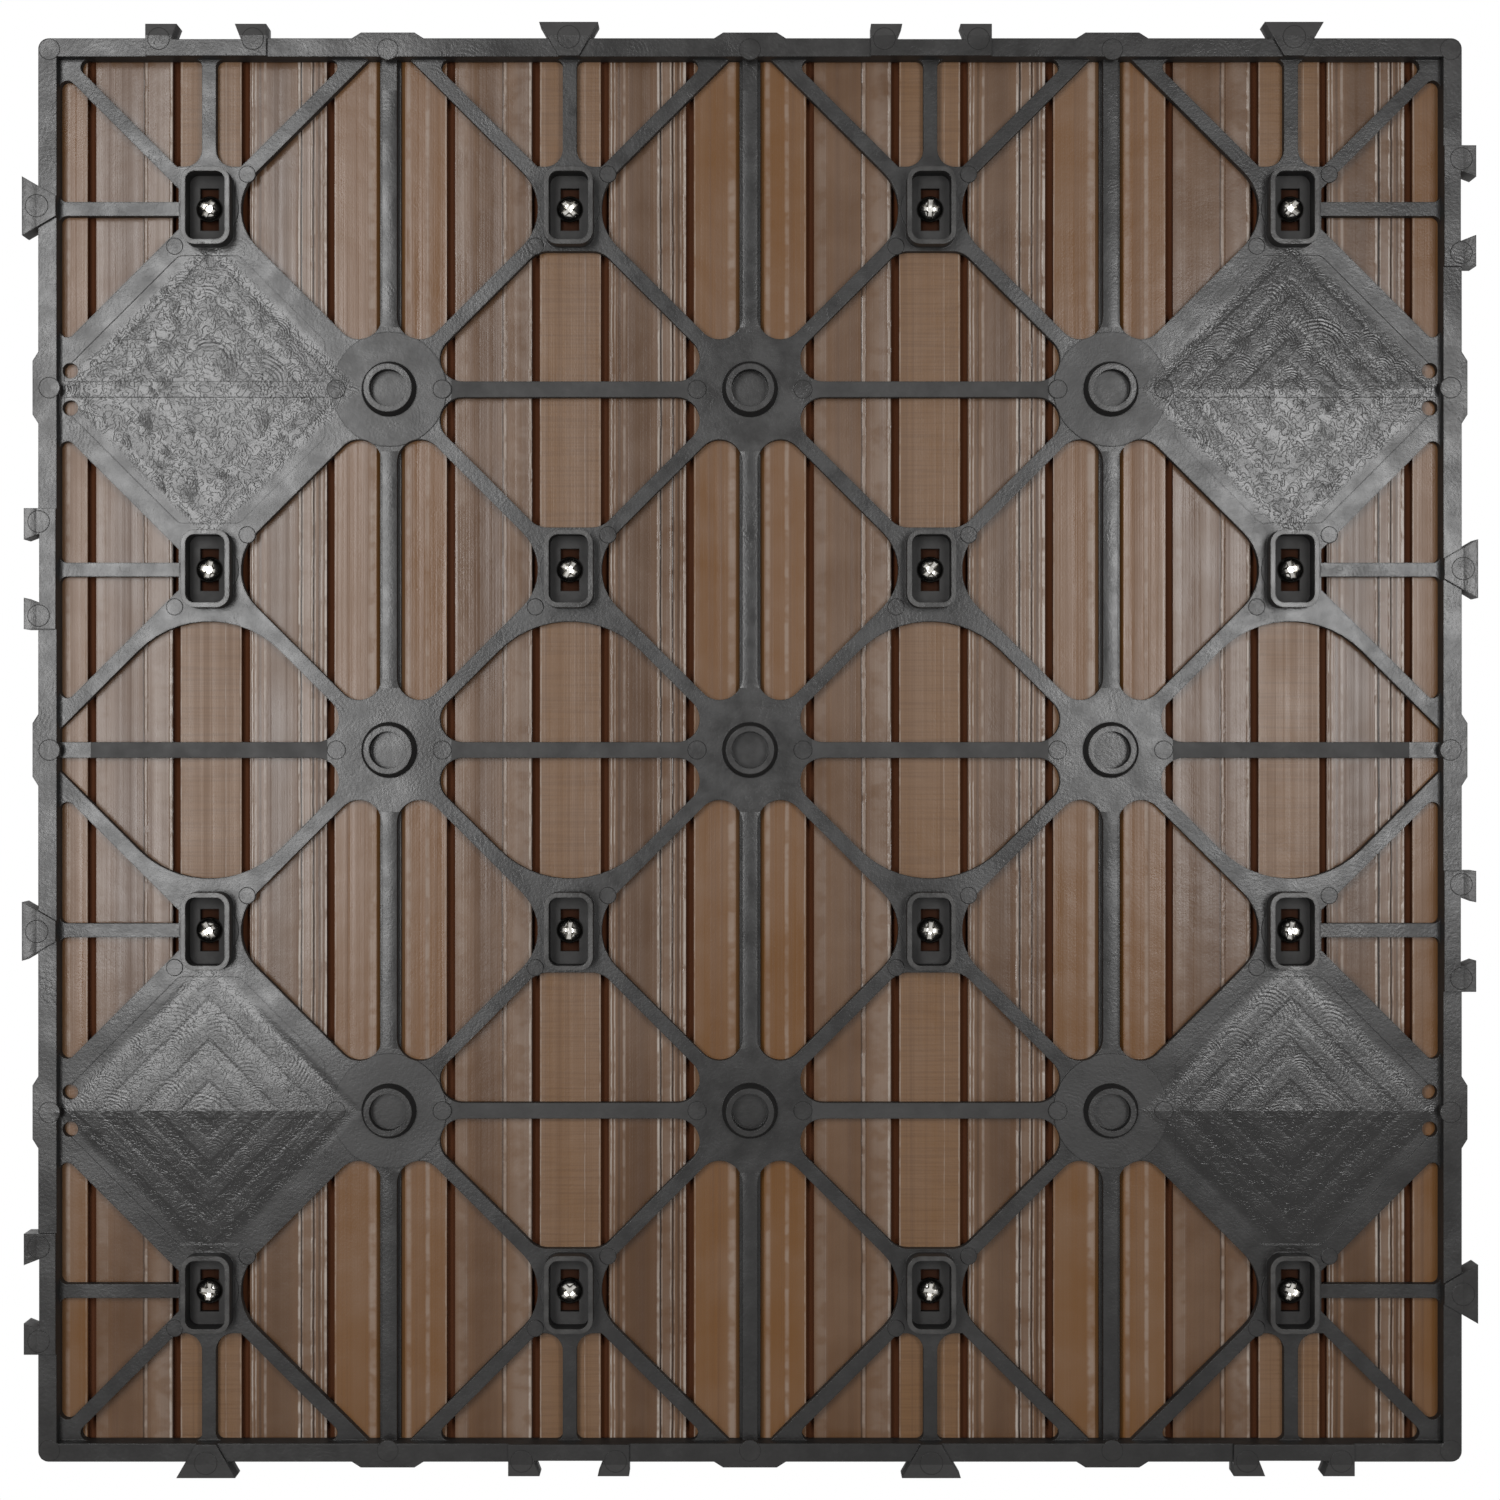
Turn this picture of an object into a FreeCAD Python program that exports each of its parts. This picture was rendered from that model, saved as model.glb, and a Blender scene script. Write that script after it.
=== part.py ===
import FreeCAD, Part
import math
import os
import Sketcher

# Interlocking deck tile: a moulded base grid with cup feet and screw bosses, four ribbed composite
# slats on top of it and sixteen pan head screws driven up through the bosses.
#
# Frame: millimetres, +Z up, origin in the middle of the tile on the ground that the boss rims stand on.
# The slats run along Y. The grid repeats with one module: bosses at odd half modules, hubs and feet
# at whole modules. Most sketches draw one copy in the positive quadrant, which patterns then repeat.

document = FreeCAD.newDocument("deck_tile")

# Driving dimensions, in millimetres.
dimensions = [
    ("tile_pitch", 300.0, "centre to centre of two joined tiles"),
    ("module", 75.6, "pitch of bosses, feet, slats and connectors"),
    ("join_gap", 0.3, "clearance from each tile's outermost pad to the tile boundary"),
    ("pad_reach", 1.2, "how far an abutment pad stands out of the frame"),
    ("pad_length", 15.0, "length of an abutment pad where it leaves the frame"),
    ("pad_flat", 11.2, "length of the flat end of an abutment pad"),
    ("frame_wall", 3.8, "thickness of the frame wall"),
    ("frame_corner", 2.2, "outer corner radius of the frame"),
    ("deck_level", 9.4, "height of the base's top plane, where the slats lie"),
    ("web_level", 6.2, "underside of the ribs and plates"),
    ("hub_level", 5.75, "underside of the thicker hubs beside the plates"),
    ("collar_level", 5.7, "underside of the round collar of a boss"),
    ("frame_level", 2.5, "lower edge of the frame"),
    ("link_level", 1.3, "lower face of tabs and sockets"),
    ("foot_level", 2.0, "rim of the cup feet"),
    ("diagonal_rib", 3.0, "width of the diagonal ribs"),
    ("long_rib", 3.15, "width of the ribs that run under the slat joints"),
    ("joint_strip", 4.4, "width of the strip on a long rib that closes a slat joint from below"),
    ("joint_strip_rise", 0.6, "how far that strip stands up between the bevels of two slats"),
    ("cross_rib", 3.3, "width of the ribs that run across the slats"),
    ("short_rib", 2.9, "width of the short ribs from the frame to the outer bosses"),
    ("hub_fillet", 4.8, "cell corner radius at a hub"),
    ("waist_fillet", 11.0, "cell corner radius beside a boss"),
    ("arch_fillet", 21.0, "cell corner radius at the arched webs"),
    ("boss_fillet", 5.0, "cell corner radius where two diagonals meet a boss end"),
    ("wedge_fillet", 1.6, "cell corner radius where a diagonal meets the frame"),
    ("root_fillet", 1.5, "cell corner radius where a short rib meets the frame"),
    ("neck_fillet", 3.7, "cell corner radius where a short rib meets a boss end"),
    ("hub_radius", 12.0, "radius of the thicker hubs beside the plates"),
    ("boss_width", 10.2, "screw boss across"),
    ("boss_length", 16.2, "screw boss along the slats"),
    ("boss_corner", 2.9, "outer corner radius of a boss"),
    ("boss_wall", 1.0, "wall of a boss"),
    ("boss_floor", 2.2, "thickness of the boss floor that the screw clamps"),
    ("boss_margin", 0.75, "web left beyond the end of a boss"),
    ("boss_side_margin", 1.25, "web left beyond the side of a boss"),
    ("collar_radius", 6.2, "radius of the round collar of a boss"),
    ("slot_width", 3.9, "slot in the boss floor, across"),
    ("slot_length", 8.85, "slot in the boss floor, along the slats"),
    ("foot_radius", 5.05, "outer radius of a foot at its rim"),
    ("foot_draft", 0.8, "how much a foot widens up to the web"),
    ("foot_wall", 1.2, "wall of a foot at its rim"),
    ("tab_reach", 3.2, "how far a dovetail tab stands out of the frame"),
    ("tab_width", 12.3, "outer end of a dovetail tab"),
    ("tab_root", 4.2, "inner end of a dovetail tab"),
    ("hook_reach", 2.8, "how far a socket's hooks stand out of the frame"),
    ("socket_block", 25.2, "length of a socket block along the frame"),
    ("socket_mouth", 12.1, "socket width between the tips of its hooks"),
    ("socket_width", 14.6, "socket width at its floor"),
    ("socket_sink", 0.4, "how far the socket floor is sunk into the frame"),
    ("plate_rim", 0.9, "rim left round the sunk face of a plate, beside the rib"),
    ("plate_sink", 0.35, "depth of the sunk face of a plate"),
    ("plate_fillet", 2.0, "corner radius of the sunk face of a plate"),
    ("plate_hub_gap", 13.5, "hub centre to the sunk face of a plate"),
    ("drain_hole", 3.2, "holes of a plate beside the frame, diameter"),
    ("drain_spacing", 7.8, "centre distance of the two holes of a plate"),
    ("drain_inset", 2.2, "hole centre to the inner face of the frame"),
    ("slat_thickness", 12.6, "height of a slat"),
    ("slat_width", 72.0, "width of a slat"),
    ("slat_length", 298.8, "length of a slat"),
    ("slat_top_round", 1.6, "radius along the two top edges of a slat"),
    ("slat_sole_bevel", 1.2, "bevel along the two bottom edges of a slat"),
    ("centre_rib", 12.8, "width of the middle rib under a slat"),
    ("side_rib", 10.0, "width of each side rib under a slat"),
    ("groove_width", 1.7, "narrow groove beside each rib under a slat"),
    ("groove_depth", 3.2, "depth of that groove"),
    ("channel_depth", 0.9, "depth of the flat of a channel under a slat"),
    ("land_width", 5.2, "raised land on one side of each channel"),
    ("land_depth", 0.4, "depth of that land"),
    ("screw_head", 5.6, "diameter of the screw head"),
    ("screw_head_height", 1.9, "height of the screw head"),
    ("screw_shank", 2.9, "diameter of the screw's thread"),
    ("screw_length", 9.5, "length of the screw under its head"),
    ("recess_width", 0.85, "arm width of the cross recess"),
    ("recess_span", 3.2, "tip to tip of the cross recess"),
    ("recess_depth", 1.2, "depth of the cross recess"),
    ("pilot_gap", 0.1, "clearance round the screw in its hole"),
    ("pilot_extra", 0.6, "depth of the hole past the screw's end"),
]

sheet = document.addObject("Spreadsheet::Sheet", "dims")
for row, (alias, size, meaning) in enumerate(dimensions, start=1):
    sheet.set(f"A{row}", alias)
    sheet.set(f"B{row}", str(size))
    sheet.setAlias(f"B{row}", alias)
    sheet.set(f"C{row}", meaning)
document.recompute()

# Counts that follow from the layout of the tile.
boss_columns = 4
foot_columns = 3
sides = 4
slat_count = 4

# Places that several features share, as expressions on the sheet.
half = "dims.module / 2"
outer = "dims.module * 3 / 2"
frame_outer = "(dims.tile_pitch / 2 - dims.join_gap - dims.pad_reach)"
frame_inner = f"({frame_outer} - dims.frame_wall)"
diagonal_edge = "(dims.diagonal_rib / 2 * sqrt(2))"
long_edge = "dims.long_rib / 2"
cross_edge = "dims.cross_rib / 2"
short_edge = "dims.short_rib / 2"
boss_end = "(dims.boss_length / 2 + dims.boss_margin)"
boss_side = "(dims.boss_width / 2 + dims.boss_side_margin)"
seat_level = "(dims.deck_level - dims.boss_floor)"


def measure(expression):
    """Value of an expression on the sheet, as a plain number."""
    return float(sheet.evalExpression(str(expression)))


def origin_feature(body, role):
    for feature in body.Origin.OriginFeatures:
        if feature.Role == role:
            return feature
    raise ValueError(role)


def new_body(name):
    body = document.addObject("PartDesign::Body", name)
    body.Label = name
    return body


def new_sketch(body, name, role="XY_Plane", level=None):
    """Sketch on one of the body's own planes, moved along its normal to a level."""
    sketch = body.newObject("Sketcher::SketchObject", name)
    sketch.AttachmentSupport = [(origin_feature(body, role), "")]
    sketch.MapMode = "FlatFace"
    if level is not None:
        sketch.setExpression("AttachmentOffset.Base.z", str(level))
    return sketch


def bind(sketch, kind, references, expression):
    """Dimension of a sketch that follows an expression."""
    index = sketch.addConstraint(Sketcher.Constraint(kind, *references, measure(expression)))
    sketch.setExpression(f"Constraints[{index}]", str(expression))


def pin_point(sketch, geometry, position, x, y):
    """Hold a point at x and y, either side of the origin."""
    for kind, expression in (("DistanceX", x), ("DistanceY", y)):
        value = measure(expression)
        if abs(value) < 1e-9:
            axis = -2 if kind == "DistanceX" else -1
            sketch.addConstraint(Sketcher.Constraint("PointOnObject", geometry, position, axis))
        elif value > 0:
            bind(sketch, kind, (-1, 1, geometry, position), expression)
        else:
            bind(sketch, kind, (geometry, position, -1, 1), f"-({expression})")


def add_circle(sketch, x, y, radius):
    centre = FreeCAD.Vector(measure(x), measure(y), 0)
    circle = sketch.addGeometry(Part.Circle(centre, FreeCAD.Vector(0, 0, 1), measure(radius)), False)
    pin_point(sketch, circle, 3, x, y)
    bind(sketch, "Radius", (circle,), radius)


def add_outline(sketch, corners):
    """Closed outline through corners (x, y, radius), each a dimension expression.

    The sharp corner is a construction point, and an arc of the radius rounds it off.
    A radius of None leaves the corner sharp.
    """
    points = [FreeCAD.Vector(measure(x), measure(y), 0) for x, y, _ in corners]
    radii = [0.0 if radius is None else measure(radius) for _, _, radius in corners]
    count = len(points)
    entries = []
    exits = []
    for i in range(count):
        back = (points[i - 1] - points[i]).normalize()
        ahead = (points[(i + 1) % count] - points[i]).normalize()
        half_angle = back.getAngle(ahead) / 2
        trim = radii[i] / math.tan(half_angle)
        entries.append(points[i] + back * trim)
        exits.append(points[i] + ahead * trim)
    lines = []
    for i in range(count):
        segment = Part.LineSegment(exits[i], entries[(i + 1) % count])
        lines.append(sketch.addGeometry(segment, False))
    for i, (x, y, radius) in enumerate(corners):
        line_in = lines[i - 1]
        line_out = lines[i]
        if radius is None:
            sketch.addConstraint(Sketcher.Constraint("Coincident", line_in, 2, line_out, 1))
            pin_point(sketch, line_out, 1, x, y)
            continue
        inward = (entries[i] - points[i]).normalize() + (exits[i] - points[i]).normalize()
        half_angle = (entries[i] - points[i]).getAngle(exits[i] - points[i]) / 2
        centre = points[i] + inward.normalize() * (radii[i] / math.sin(half_angle))
        start = entries[i] - centre
        end = exits[i] - centre
        turns_left = start.cross(end).z > 0
        first, last = (start, end) if turns_left else (end, start)
        circle = Part.Circle(centre, FreeCAD.Vector(0, 0, 1), radii[i])
        first_angle = math.atan2(first.y, first.x)
        last_angle = math.atan2(last.y, last.x)
        if last_angle < first_angle:
            last_angle += 2 * math.pi
        arc = sketch.addGeometry(Part.ArcOfCircle(circle, first_angle, last_angle), False)
        entry_end, exit_end = (1, 2) if turns_left else (2, 1)
        corner = sketch.addGeometry(Part.Point(points[i]), True)
        sketch.addConstraint(Sketcher.Constraint("Tangent", line_in, 2, arc, entry_end))
        sketch.addConstraint(Sketcher.Constraint("Tangent", arc, exit_end, line_out, 1))
        sketch.addConstraint(Sketcher.Constraint("PointOnObject", corner, 1, line_in))
        sketch.addConstraint(Sketcher.Constraint("PointOnObject", corner, 1, line_out))
        pin_point(sketch, corner, 1, x, y)
        bind(sketch, "Radius", (arc,), radius)


def add_rectangle(sketch, x, y, width, length, radius):
    """Rectangle about a centre, its four corners rounded."""
    corners = []
    for x_sign, y_sign in (("-", "-"), ("+", "-"), ("+", "+"), ("-", "+")):
        corner_x = f"{x} {x_sign} ({width}) / 2"
        corner_y = f"{y} {y_sign} ({length}) / 2"
        corners.append((corner_x, corner_y, radius))
    add_outline(sketch, corners)


def pad(body, name, sketch, length, taper=None):
    feature = body.newObject("PartDesign::Pad", name)
    feature.Profile = sketch
    feature.setExpression("Length", str(length))
    if taper is not None:
        feature.setExpression("TaperAngle", str(taper))
    document.recompute()
    return feature


def pocket(body, name, sketch, depth=None, upward=False):
    """Cut from a sketch, down through everything or upward to a depth."""
    before = body.Tip.Shape.Volume
    feature = body.newObject("PartDesign::Pocket", name)
    feature.Profile = sketch
    feature.Reversed = upward
    if depth is None:
        feature.Type = "ThroughAll"
    else:
        feature.setExpression("Length", str(depth))
    document.recompute()
    if not feature.Shape.Volume < before:
        raise RuntimeError(f"{name} cuts nothing")
    return feature


def line_pattern(body, name, axis, count, length):
    """Copies of a feature from its own place back along an axis."""
    step = body.newObject("PartDesign::LinearPattern", name)
    step.Direction = (origin_feature(body, axis), [""])
    step.Reversed = True
    step.Occurrences = count
    step.setExpression("Length", str(length))
    return step


def mirror(body, name, plane):
    step = body.newObject("PartDesign::Mirrored", name)
    step.MirrorPlane = (origin_feature(body, plane), [""])
    return step


def turns(body, name, count):
    step = body.newObject("PartDesign::PolarPattern", name)
    step.Axis = (origin_feature(body, "Z_Axis"), [""])
    step.Angle = 360
    step.Occurrences = count
    return step


def repeat(body, name, originals, steps):
    """Repeat features by several patterns, one after the other."""
    multi = body.newObject("PartDesign::MultiTransform", name)
    multi.Originals = originals
    multi.Transformations = steps
    body.Tip = multi
    document.recompute()
    return multi


# Base grid

def cut_cells(body):
    """Open cells of one quadrant of the web, between its ribs."""
    rib_reach = f"({half} - {long_edge} - {diagonal_edge})"
    cross_reach = f"({half} - {cross_edge} - {diagonal_edge})"
    edge_reach = f"({frame_inner} - ({outer}) - {diagonal_edge})"
    end_half = f"({boss_end} - {diagonal_edge})"
    side_half = f"({boss_side} - {diagonal_edge})"

    side = new_sketch(body, "side_cells", level="dims.deck_level")
    for column, sign in ((half, "-"), (half, "+"), (outer, "-")):
        waist = f"{column} {sign} {diagonal_edge}"
        rib_face = f"{column} {sign} ({half} - {long_edge})"
        add_outline(side, [
            (waist, half, "dims.waist_fillet"),
            (rib_face, f"{half} - {rib_reach}", "dims.hub_fillet"),
            (rib_face, f"{half} + {rib_reach}", "dims.hub_fillet"),
        ])
        add_outline(side, [
            (waist, outer, "dims.waist_fillet"),
            (rib_face, f"{outer} - {rib_reach}", "dims.hub_fillet"),
            (rib_face, frame_inner, None),
            (f"{waist} {sign} ({frame_inner} - {outer})", frame_inner, None),
        ])
    pocket(body, "side_cell_cut", side)

    arch = new_sketch(body, "arch_cells", level="dims.deck_level")
    add_outline(arch, [
        (half, f"{half} - {diagonal_edge}", "dims.arch_fillet"),
        (f"{half} - {cross_reach}", cross_edge, "dims.hub_fillet"),
        (f"{half} + {cross_reach}", cross_edge, "dims.hub_fillet"),
    ])
    add_outline(arch, [
        (outer, f"{half} - {diagonal_edge}", "dims.arch_fillet"),
        (f"{outer} - {cross_reach}", cross_edge, "dims.hub_fillet"),
        (frame_inner, cross_edge, None),
        (frame_inner, f"{half} - {diagonal_edge} - ({frame_inner} - {outer})", None),
    ])
    pocket(body, "arch_cell_cut", arch)

    # Two cells face each other across a cross rib, each cut off square by the end of its boss.
    ends = new_sketch(body, "end_cells", level="dims.deck_level")
    for row, sign in ((half, "+"), (outer, "-")):
        boss_face = f"{row} {sign} {boss_end}"
        rib_face = f"{row} {sign} ({half} - {cross_edge})"
        add_outline(ends, [
            (f"{half} - {end_half}", boss_face, "dims.boss_fillet"),
            (f"{half} + {end_half}", boss_face, "dims.boss_fillet"),
            (f"{half} + {cross_reach}", rib_face, "dims.hub_fillet"),
            (f"{half} - {cross_reach}", rib_face, "dims.hub_fillet"),
        ])
    pocket(body, "end_cell_cut", ends)

    # Along the frame each cell is halved by the short rib of its boss.
    flank = new_sketch(body, "flank_cells", level="dims.deck_level")
    margin = new_sketch(body, "margin_cells", level="dims.deck_level")
    for place in (half, outer):
        for sign in ("-", "+"):
            rib_face = f"{place} {sign} {short_edge}"
            wedge = f"{place} {sign} {edge_reach}"
            add_outline(flank, [
                (f"{outer} + {boss_side}", rib_face, None),
                (frame_inner, rib_face, "dims.root_fillet"),
                (frame_inner, wedge, "dims.wedge_fillet"),
                (f"{outer} + {boss_side}", f"{place} {sign} {side_half}", None),
            ])
            add_outline(margin, [
                (rib_face, f"{outer} + {boss_end}", "dims.neck_fillet"),
                (rib_face, frame_inner, "dims.root_fillet"),
                (wedge, frame_inner, "dims.wedge_fillet"),
                (f"{place} {sign} {end_half}", f"{outer} + {boss_end}", None),
            ])
    pocket(body, "flank_cell_cut", flank)
    pocket(body, "margin_cell_cut", margin)


def sink_plate(body):
    """Sunk faces and drain holes of a solid plate."""
    sunk = new_sketch(body, "plate_faces", level="dims.web_level")
    inset = "((dims.diagonal_rib / 2 + dims.plate_rim) * sqrt(2))"
    hub_side = "dims.module + dims.plate_hub_gap"
    frame_side = f"({frame_inner} - dims.plate_rim)"
    boss_gap = f"({boss_end} + dims.plate_rim)"
    slant = f"({half} - {boss_gap} + {inset})"
    for sign in ("-", "+"):
        crease = f"dims.module {sign} {cross_edge}"
        tip = f"dims.module {sign} ({half} - {boss_gap})"
        add_outline(sunk, [
            (hub_side, crease, None),
            (hub_side, f"dims.module {sign} (dims.plate_hub_gap - {inset})", "dims.plate_fillet"),
            (f"dims.module + {slant}", tip, "dims.plate_fillet"),
            (f"dims.module * 2 - {slant}", tip, "dims.plate_fillet"),
            (frame_side, f"dims.module {sign} (dims.module * 2 - {frame_side} - {inset})", None),
            (frame_side, crease, None),
        ])
    pocket(body, "plate_face_cut", sunk, depth="dims.plate_sink", upward=True)

    drains = new_sketch(body, "drains", level="dims.deck_level")
    for sign in ("-", "+"):
        x = f"{frame_inner} - dims.drain_inset"
        y = f"dims.module {sign} dims.drain_spacing / 2"
        add_circle(drains, x, y, "dims.drain_hole / 2")
    pocket(body, "drain_cut", drains)


def add_bosses(body):
    """Screw bosses, each with a deep pocket and a slotted floor."""
    rim = new_sketch(body, "boss_rim")
    add_rectangle(rim, outer, outer, "dims.boss_width", "dims.boss_length", "dims.boss_corner")
    tower = pad(body, "boss_tower", rim, "dims.deck_level")

    collar = new_sketch(body, "boss_collar", level="dims.collar_level")
    add_circle(collar, outer, outer, "dims.collar_radius")
    ring = pad(body, "boss_ring", collar, "dims.deck_level - dims.collar_level")

    well = new_sketch(body, "boss_well")
    inner_width = "dims.boss_width - 2 * dims.boss_wall"
    inner_length = "dims.boss_length - 2 * dims.boss_wall"
    add_rectangle(well, outer, outer, inner_width, inner_length, "dims.boss_corner - dims.boss_wall")
    well_cut = pocket(body, "boss_well_cut", well, seat_level, upward=True)

    slot = new_sketch(body, "boss_slot", level="dims.deck_level")
    add_rectangle(slot, outer, outer, "dims.slot_width", "dims.slot_length", None)
    slot_cut = pocket(body, "boss_slot_cut", slot)
    repeat(body, "boss_pattern", [tower, ring, well_cut, slot_cut], [
        line_pattern(body, "boss_row", "X_Axis", boss_columns // 2, "dims.module"),
        line_pattern(body, "boss_column", "Y_Axis", boss_columns // 2, "dims.module"),
    ])


def make_web():
    """Web of ribs, hubs, plates and bosses: one quadrant, mirrored both ways."""
    body = new_body("web")
    slab = new_sketch(body, "web_slab", level="dims.web_level")
    edge = f"{frame_inner} + dims.frame_wall / 2"
    add_outline(slab, [("0", "0", None), (edge, "0", None), (edge, edge, None), ("0", edge, None)])
    pad(body, "web_plane", slab, "dims.deck_level - dims.web_level")

    # Wider than its rib, so that no light shows through the joint from below.
    strip = new_sketch(body, "joint_strips", level="dims.deck_level")
    for left, right in (
        ("0", "dims.joint_strip / 2"),
        ("dims.module - dims.joint_strip / 2", "dims.module + dims.joint_strip / 2"),
    ):
        add_outline(strip, [
            (left, "0", None),
            (right, "0", None),
            (right, frame_outer, None),
            (left, frame_outer, None),
        ])
    pad(body, "joint_strip_bars", strip, "dims.joint_strip_rise")

    hub = new_sketch(body, "corner_hub", level="dims.hub_level")
    add_circle(hub, "dims.module", "dims.module", "dims.hub_radius")
    pad(body, "corner_hub_disc", hub, "dims.deck_level - dims.hub_level")

    cut_cells(body)
    sink_plate(body)
    add_bosses(body)
    quarters = repeat(body, "quarters", [], [
        mirror(body, "left_half", "YZ_Plane"),
        mirror(body, "upper_half", "XZ_Plane"),
    ])
    quarters.TransformMode = "Whole shape"
    document.recompute()
    return body


def make_rim():
    """Outer wall, with the pads and the dovetails that meet the next tile."""
    body = new_body("rim")
    ring = new_sketch(body, "frame_ring", level="dims.frame_level")
    add_rectangle(ring, "0", "0", f"2 * {frame_outer}", f"2 * {frame_outer}", "dims.frame_corner")
    add_rectangle(ring, "0", "0", f"2 * {frame_inner}", f"2 * {frame_inner}", None)
    wall_height = "dims.deck_level - dims.frame_level"
    pad(body, "frame_wall", ring, wall_height)

    bumper = new_sketch(body, "bumper", level="dims.frame_level")
    root = f"{frame_outer} - dims.frame_wall / 2"
    face = f"{frame_outer} + dims.pad_reach"
    add_outline(bumper, [
        (root, "dims.module - dims.pad_length / 2", None),
        (frame_outer, "dims.module - dims.pad_length / 2", None),
        (face, "dims.module - dims.pad_flat / 2", None),
        (face, "dims.module + dims.pad_flat / 2", None),
        (frame_outer, "dims.module + dims.pad_length / 2", None),
        (root, "dims.module + dims.pad_length / 2", None),
    ])
    block = pad(body, "bumper_block", bumper, wall_height)
    repeat(body, "bumper_pattern", [block], [
        line_pattern(body, "bumper_side", "Y_Axis", foot_columns, "dims.module * 2"),
        turns(body, "bumper_round", sides),
    ])

    # Tabs and sockets take turns round the tile.
    link_height = "dims.deck_level - dims.link_level"
    tab = new_sketch(body, "tab", level="dims.link_level")
    tab_tip = f"{frame_outer} + dims.tab_reach"
    add_outline(tab, [
        (frame_inner, f"{outer} - dims.tab_root / 2", None),
        (tab_tip, f"{outer} - dims.tab_width / 2", None),
        (tab_tip, f"{outer} + dims.tab_width / 2", None),
        (frame_inner, f"{outer} + dims.tab_root / 2", None),
    ])
    tab_block = pad(body, "tab_block", tab, link_height)

    hooks = new_sketch(body, "hooks", level="dims.link_level")
    hook_tip = f"{frame_outer} + dims.hook_reach"
    add_outline(hooks, [
        (frame_inner, f"{half} - dims.socket_block / 2", None),
        (hook_tip, f"{half} - dims.socket_block / 2", None),
        (hook_tip, f"{half} + dims.socket_block / 2", None),
        (frame_inner, f"{half} + dims.socket_block / 2", None),
    ])
    hook_block = pad(body, "hook_block", hooks, link_height)

    # The socket's sides slope on past the hooks' tips, so that the mouth is cut open.
    socket = new_sketch(body, "socket", level="dims.deck_level")
    floor = f"{frame_outer} - dims.socket_sink"
    slope = "((dims.socket_width - dims.socket_mouth) / (dims.hook_reach + dims.socket_sink) / 2)"
    mouth_half = f"(dims.socket_mouth / 2 - {slope} * dims.hook_reach)"
    beyond = f"{hook_tip} + dims.hook_reach"
    add_outline(socket, [
        (floor, f"{half} - dims.socket_width / 2", None),
        (beyond, f"{half} - {mouth_half}", None),
        (beyond, f"{half} + {mouth_half}", None),
        (floor, f"{half} + dims.socket_width / 2", None),
    ])
    socket_cut = pocket(body, "socket_cut", socket)
    repeat(body, "link_pattern", [tab_block, hook_block, socket_cut], [
        line_pattern(body, "link_side", "Y_Axis", boss_columns // 2, "dims.module * 2"),
        turns(body, "link_round", sides),
    ])
    return body


def make_feet():
    """Cup feet under the hubs; the web closes each cup."""
    body = new_body("feet")
    rim = new_sketch(body, "foot_rim", level="dims.foot_level")
    add_circle(rim, "dims.module", "dims.module", "dims.foot_radius")
    height = "(dims.web_level - dims.foot_level)"
    stem = pad(body, "foot_stem", rim, height, f"atan(dims.foot_draft / {height})")

    cup = new_sketch(body, "foot_cup", level="dims.foot_level")
    add_circle(cup, "dims.module", "dims.module", "dims.foot_radius - dims.foot_wall")
    cup_cut = pocket(body, "foot_cup_cut", cup, height, upward=True)
    repeat(body, "foot_pattern", [stem, cup_cut], [
        line_pattern(body, "foot_row", "X_Axis", foot_columns, "dims.module * 2"),
        line_pattern(body, "foot_column", "Y_Axis", foot_columns, "dims.module * 2"),
    ])
    return body


def make_base_grid():
    moulding = document.addObject("Part::MultiFuse", "base_grid")
    moulding.Label = "base_grid"
    moulding.Shapes = [make_web(), make_rim(), make_feet()]
    moulding.Refine = True
    document.recompute()
    return moulding


# Slats

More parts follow.
